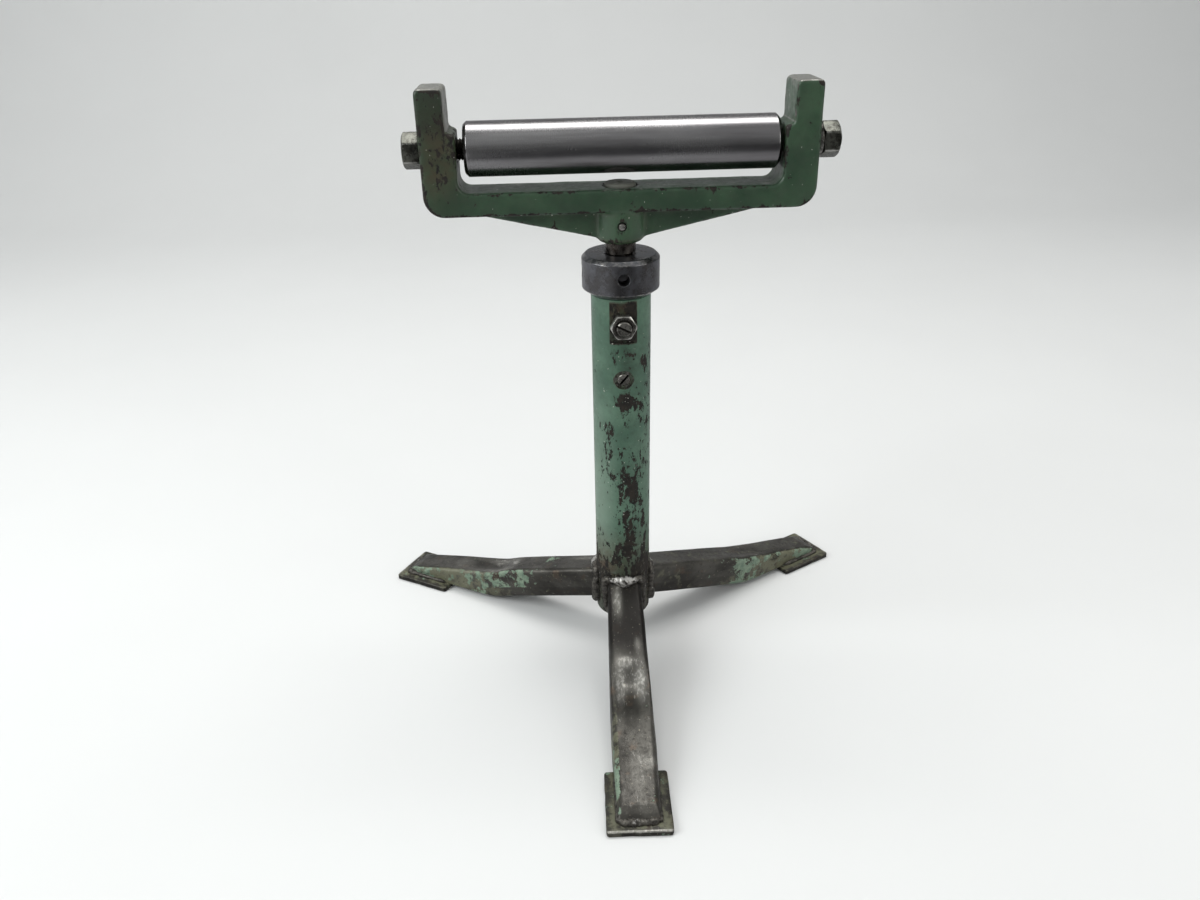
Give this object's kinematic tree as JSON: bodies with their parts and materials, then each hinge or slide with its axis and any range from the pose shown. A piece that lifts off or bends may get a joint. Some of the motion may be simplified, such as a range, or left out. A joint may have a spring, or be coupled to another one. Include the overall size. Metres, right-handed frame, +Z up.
{
  "type": "roller stand",
  "caption": "Workshop roller stand: welded tripod with a pipe column, a ring nut and screw spindle that lift a cast yoke, and a free-running steel roller between its horns.",
  "frame": {"origin": "on the floor, under the middle of the footprint's bounding box", "axes": "+Z up along the column, +X along the roller towards the axle nut, +Y away from the single front leg"},
  "size_m": [0.453, 0.3936, 0.4923],
  "materials": {
    "column_paint": "old green enamel, chipped to dark steel",
    "cast_green": "green paint on cast iron, worn to grey metal on edges and tops",
    "leg_steel": "bare brown-grey steel with scuffs and scraps of green paint",
    "weld_metal": "lumpy weld bead, dark with bright crests",
    "black_steel": "blackened, oily turned steel",
    "ground_steel": "ground bright steel with fine rings",
    "screw_steel": "dull grey fastener steel with grime",
    "bronze": "plain bearing bronze, oiled"
  },
  "bodies": {
    "base": {"column_tube": "column_paint", "guide_bush": "bronze", "guide_screw": "screw_steel", "guide_lock_nut": "screw_steel", "bush_screw": "screw_steel", "leg_front": "leg_steel", "leg_weld_front": "weld_metal", "foot_plate_front": "leg_steel", "foot_weld_front": "weld_metal", "leg_left": "leg_steel", "leg_weld_left": "weld_metal", "foot_plate_left": "leg_steel", "foot_weld_left": "weld_metal", "leg_right": "leg_steel", "leg_weld_right": "weld_metal", "foot_plate_right": "leg_steel", "foot_weld_right": "weld_metal"},
    "ring_nut": {"ring_nut": "black_steel"},
    "head": {"spindle": "black_steel", "yoke": "cast_green", "yoke_pin": "screw_steel", "axle_bolt": "screw_steel", "axle_nut": "screw_steel", "axle_washer": "screw_steel"},
    "roller": {"roller_tube": "ground_steel", "roller_bush_left": "bronze", "roller_bush_right": "bronze"}
  },
  "joints": [
    {"name": "ring_nut_turn", "type": "hinge", "parent": "base", "child": "ring_nut", "pos_m": [0, 0.05187, 0.35], "axis": [0, 0, 1], "range_deg": [-8640, 576]},
    {"name": "head_lift", "type": "slide", "parent": "base", "child": "head", "axis": [0, 0, 1], "range_m": [-0.008, 0.12]},
    {"name": "roller_spin", "type": "hinge", "parent": "head", "child": "roller", "pos_m": [0, 0.05187, 0.4473], "axis": [1, 0, 0], "continuous": true}
  ],
  "couplings": [
    {"joint": "ring_nut_turn", "follows": "head_lift", "rad_per_m": -1256.6}
  ]
}
